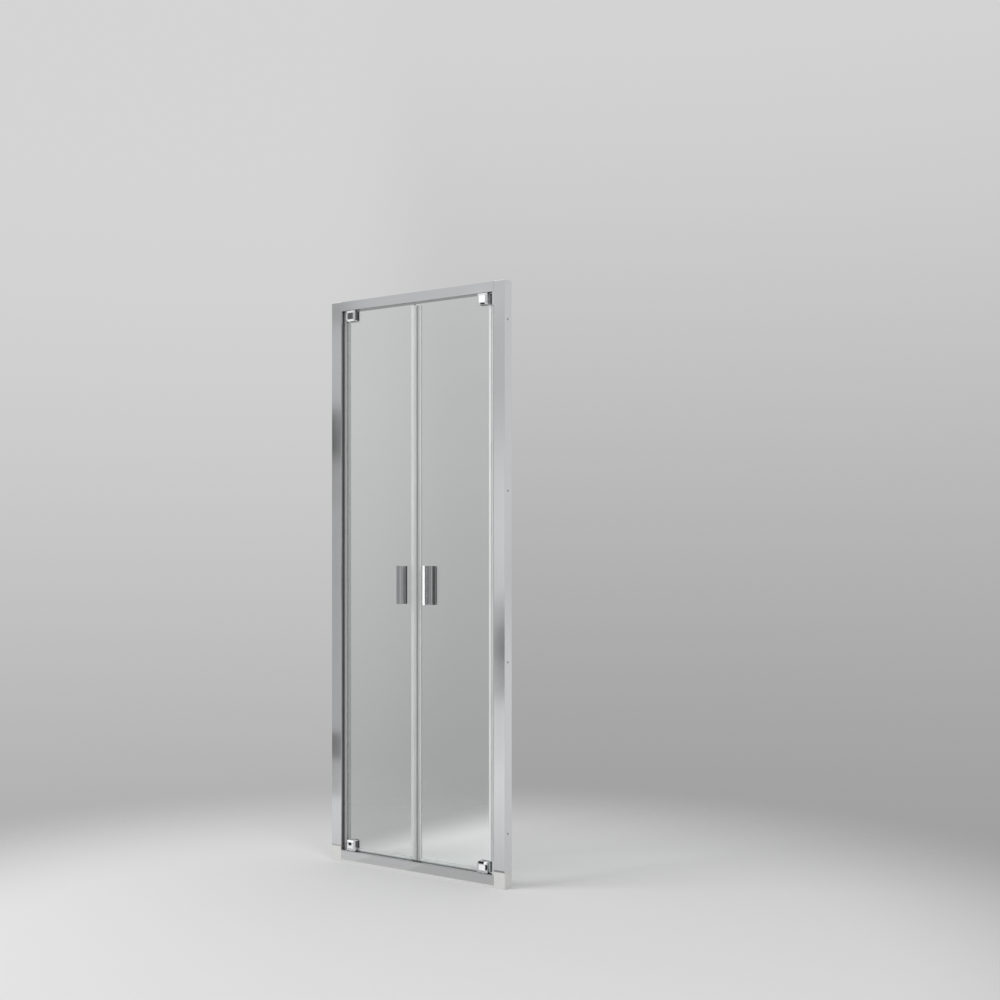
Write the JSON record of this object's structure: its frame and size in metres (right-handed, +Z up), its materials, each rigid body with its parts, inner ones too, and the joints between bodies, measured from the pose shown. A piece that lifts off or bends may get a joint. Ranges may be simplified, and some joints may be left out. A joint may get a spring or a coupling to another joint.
{
  "type": "double hinged shower door",
  "caption": "Alcove shower door with a bright metal frame and two clear glass leaves that swing outwards on corner pivot hinges.",
  "frame": {"origin": "middle of the underside of the threshold, in the middle plane of the glass", "axes": "+X to the right as seen from outside, -Y outwards from the shower, +Z up"},
  "size_m": [0.73, 0.0518, 1.95],
  "materials": {
    "bright_aluminium": "bright polished",
    "chrome": "mirror chrome plate",
    "stainless_steel": "turned",
    "clear_glass": "clear toughened glass, polished edges",
    "clear_seal": "clear soft PVC",
    "clear_gasket": "translucent",
    "light_plastic": "light grey, satin moulded",
    "bush_plastic": "white nylon",
    "magnet": "dark magnetic strip"
  },
  "bodies": {
    "frame": {"top_rail": "bright_aluminium", "threshold_rail": "bright_aluminium", "threshold_base_strip": "light_plastic", "top_rail_screws": "stainless_steel", "threshold_screws": "stainless_steel", "left_wall_profile": "bright_aluminium", "left_jamb_profile": "bright_aluminium", "left_foot_cap": "light_plastic", "left_top_cap": "light_plastic", "left_adjusting_screws": "stainless_steel", "left_top_bush": "bush_plastic", "left_bottom_bush": "bush_plastic", "right_wall_profile": "bright_aluminium", "right_jamb_profile": "bright_aluminium", "right_foot_cap": "light_plastic", "right_top_cap": "light_plastic", "right_adjusting_screws": "stainless_steel", "right_top_bush": "bush_plastic", "right_bottom_bush": "bush_plastic"},
    "left_leaf": {"left_glass": "clear_glass", "left_top_hinge_block": "chrome", "left_top_hinge_clamp": "chrome", "left_top_pivot_pin": "stainless_steel", "left_top_hinge_gaskets": "clear_gasket", "left_top_hinge_screws": "stainless_steel", "left_bottom_hinge_block": "chrome", "left_bottom_hinge_clamp": "chrome", "left_bottom_pivot_pin": "stainless_steel", "left_bottom_hinge_gaskets": "clear_gasket", "left_bottom_hinge_screws": "stainless_steel", "left_handle": "chrome", "left_back_plate": "chrome", "left_handle_pads": "clear_gasket", "left_handle_screws": "stainless_steel", "left_jamb_seal": "clear_seal", "left_magnet_seal": "clear_seal", "left_magnet_strip": "magnet", "left_drip_seal": "clear_seal"},
    "right_leaf": {"right_glass": "clear_glass", "right_top_hinge_block": "chrome", "right_top_hinge_clamp": "chrome", "right_top_pivot_pin": "stainless_steel", "right_top_hinge_gaskets": "clear_gasket", "right_top_hinge_screws": "stainless_steel", "right_bottom_hinge_block": "chrome", "right_bottom_hinge_clamp": "chrome", "right_bottom_pivot_pin": "stainless_steel", "right_bottom_hinge_gaskets": "clear_gasket", "right_bottom_hinge_screws": "stainless_steel", "right_handle": "chrome", "right_back_plate": "chrome", "right_handle_pads": "clear_gasket", "right_handle_screws": "stainless_steel", "right_jamb_seal": "clear_seal", "right_magnet_seal": "clear_seal", "right_magnet_strip": "magnet", "right_drip_seal": "clear_seal"}
  },
  "joints": [
    {"name": "left_leaf_pivot", "type": "hinge", "parent": "frame", "child": "left_leaf", "pos_m": [-0.2781, -0.01, 0.04], "axis": [0, 0, -1], "range_deg": [0, 90]},
    {"name": "right_leaf_pivot", "type": "hinge", "parent": "frame", "child": "right_leaf", "pos_m": [0.2781, -0.01, 0.04], "axis": [0, 0, 1], "range_deg": [0, 90]}
  ]
}
